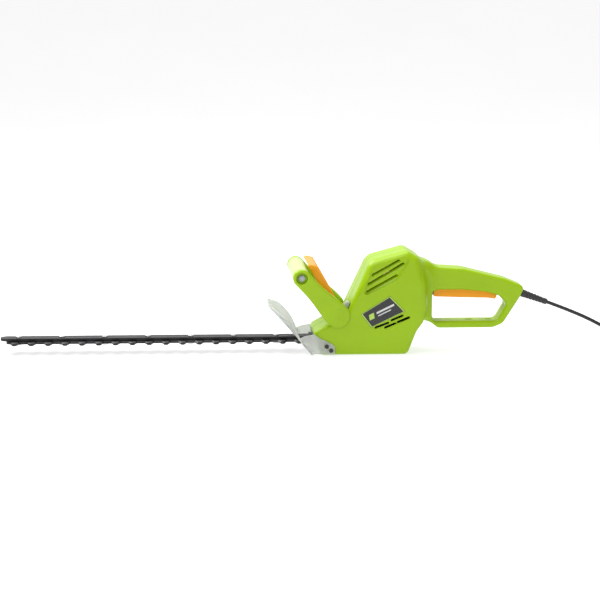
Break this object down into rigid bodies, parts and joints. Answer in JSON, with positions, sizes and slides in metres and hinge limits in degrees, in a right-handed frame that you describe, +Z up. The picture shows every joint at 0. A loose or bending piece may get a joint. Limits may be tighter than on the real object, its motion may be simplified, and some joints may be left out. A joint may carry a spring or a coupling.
{
  "type": "electric hedge trimmer",
  "caption": "Corded electric hedge trimmer with a two-sided reciprocating blade, clear hand guard, bail front handle, loop rear handle and short mains lead.",
  "frame": {"origin": "middle of the flat base, on the plane between the housing halves", "axes": "+X to the rear handle, -X to the tip of the blade, +Z up"},
  "size_m": [1.0527, 0.1492, 0.162],
  "materials": {
    "green_plastic": "satin moulded",
    "orange_plastic": "satin moulded",
    "clear_plastic": "frosted clear",
    "dark_plastic": "fine texture",
    "label_film": "printed film",
    "white_plastic": "moulded",
    "boot_rubber": "matt",
    "cord_rubber": "matt",
    "grey_rubber": "matt",
    "blade_steel": "oiled and ground",
    "bright_steel": "zinc plated",
    "black_screw": "blackened",
    "bar_metal": "black anodised",
    "cast_aluminium": "die cast",
    "sintered_steel": "sintered",
    "lamination_steel": "laminated",
    "copper": "enamelled copper",
    "brass": "pressed",
    "carbon": "carbon"
  },
  "bodies": {
    "root": {"housing_left": "green_plastic", "housing_right": "green_plastic", "housing_screws": "black_screw", "label_left": "label_film", "label_right": "label_film", "front_arm_left": "green_plastic", "front_arm_right": "green_plastic", "front_grip_tube": "green_plastic", "grip_tie_rod": "bright_steel", "front_handle_screws": "bright_steel", "switch_bar_pins": "bright_steel", "rod_boot": "grey_rubber", "front_switch": "dark_plastic", "hand_guard": "clear_plastic", "guard_screws": "black_screw", "guide_bar": "bar_metal", "guide_bar_screws": "bright_steel", "blade_bolts": "bright_steel", "blade_spacers": "bright_steel", "blade_nuts": "bright_steel", "gearcase": "cast_aluminium", "gearcase_cover": "cast_aluminium", "gearcase_screws": "bright_steel", "spindle_bearings": "bright_steel", "motor_bearings": "bright_steel", "stator_core": "lamination_steel", "field_coils": "copper", "brush_holders": "brass", "carbon_brushes": "carbon", "trigger_pin": "bright_steel", "trigger_spring": "bright_steel", "rear_switch": "dark_plastic", "capacitor": "white_plastic", "terminal_block": "white_plastic", "inner_cord": "cord_rubber", "cord_clamp": "dark_plastic", "cord_clamp_screws": "bright_steel", "cord_boot": "boot_rubber", "cord_run": "cord_rubber", "plug_body": "cord_rubber", "plug_pins": "bright_steel"},
    "drive_train": {"gear_spindle": "bright_steel", "drive_gear": "sintered_steel", "upper_eccentric": "sintered_steel", "lower_eccentric": "sintered_steel"},
    "armature": {"armature_shaft": "bright_steel", "pinion": "sintered_steel", "cooling_fan": "dark_plastic", "armature_core": "lamination_steel", "armature_winding": "copper", "commutator": "copper"},
    "upper_blade_body": {"upper_blade": "blade_steel"},
    "lower_blade_body": {"lower_blade": "blade_steel"},
    "upper_conrod_body": {"upper_conrod": "bright_steel"},
    "lower_conrod_body": {"lower_conrod": "bright_steel"},
    "switch_bar": {"front_switch_bar": "orange_plastic"},
    "rod": {"push_rod": "dark_plastic"},
    "trigger": {"rear_trigger": "orange_plastic"},
    "plunger": {"rear_plunger": "white_plastic"}
  },
  "joints": [
    {"name": "gear_spin", "type": "hinge", "parent": "root", "child": "drive_train", "pos_m": [-0.0098, 0, 0.03], "axis": [0, 0, 1], "continuous": true},
    {"name": "armature_spin", "type": "hinge", "parent": "root", "child": "armature", "pos_m": [0.028, 0, 0.09], "axis": [0, 0, 1], "continuous": true},
    {"name": "upper_blade_slide", "type": "slide", "parent": "root", "child": "upper_blade_body", "axis": [1, 0, 0], "range_m": [-0.0065, 0.0065]},
    {"name": "lower_blade_slide", "type": "slide", "parent": "root", "child": "lower_blade_body", "axis": [1, 0, 0], "range_m": [-0.0065, 0.0065]},
    {"name": "upper_conrod_swing", "type": "hinge", "parent": "upper_blade_body", "child": "upper_conrod_body", "pos_m": [-0.062, 0, 0.0225], "axis": [0, 0, 1], "range_deg": [-14.2, 0]},
    {"name": "lower_conrod_swing", "type": "hinge", "parent": "lower_blade_body", "child": "lower_conrod_body", "pos_m": [-0.062, 0, 0.0133], "axis": [0, 0, 1], "range_deg": [0, 14.2]},
    {"name": "switch_bar_squeeze", "type": "hinge", "parent": "root", "child": "switch_bar", "pos_m": [-0.053, 0, 0.082], "axis": [0, -1, 0], "range_deg": [0, 4], "stiffness_Nm_per_rad": 4, "springref_deg": -8.59},
    {"name": "push_rod_slide", "type": "slide", "parent": "root", "child": "rod", "axis": [1, 0, 0], "range_m": [0, 0.0011]},
    {"name": "trigger_squeeze", "type": "hinge", "parent": "root", "child": "trigger", "pos_m": [0.207, 0, 0.097], "axis": [0, 1, 0], "range_deg": [0, 3.4], "stiffness_Nm_per_rad": 4, "springref_deg": -8.59},
    {"name": "plunger_slide", "type": "slide", "parent": "root", "child": "plunger", "axis": [0, 0, 1], "range_m": [0, 0.0045]}
  ],
  "couplings": [
    {"joint": "armature_spin", "follows": "gear_spin", "ratio": -6},
    {"joint": "lower_blade_slide", "follows": "upper_blade_slide", "ratio": -1},
    {"joint": "lower_conrod_swing", "follows": "upper_conrod_swing", "ratio": -1},
    {"joint": "push_rod_slide", "follows": "switch_bar_squeeze", "m_per_rad": 0.014},
    {"joint": "plunger_slide", "follows": "trigger_squeeze", "m_per_rad": 0.073}
  ]
}
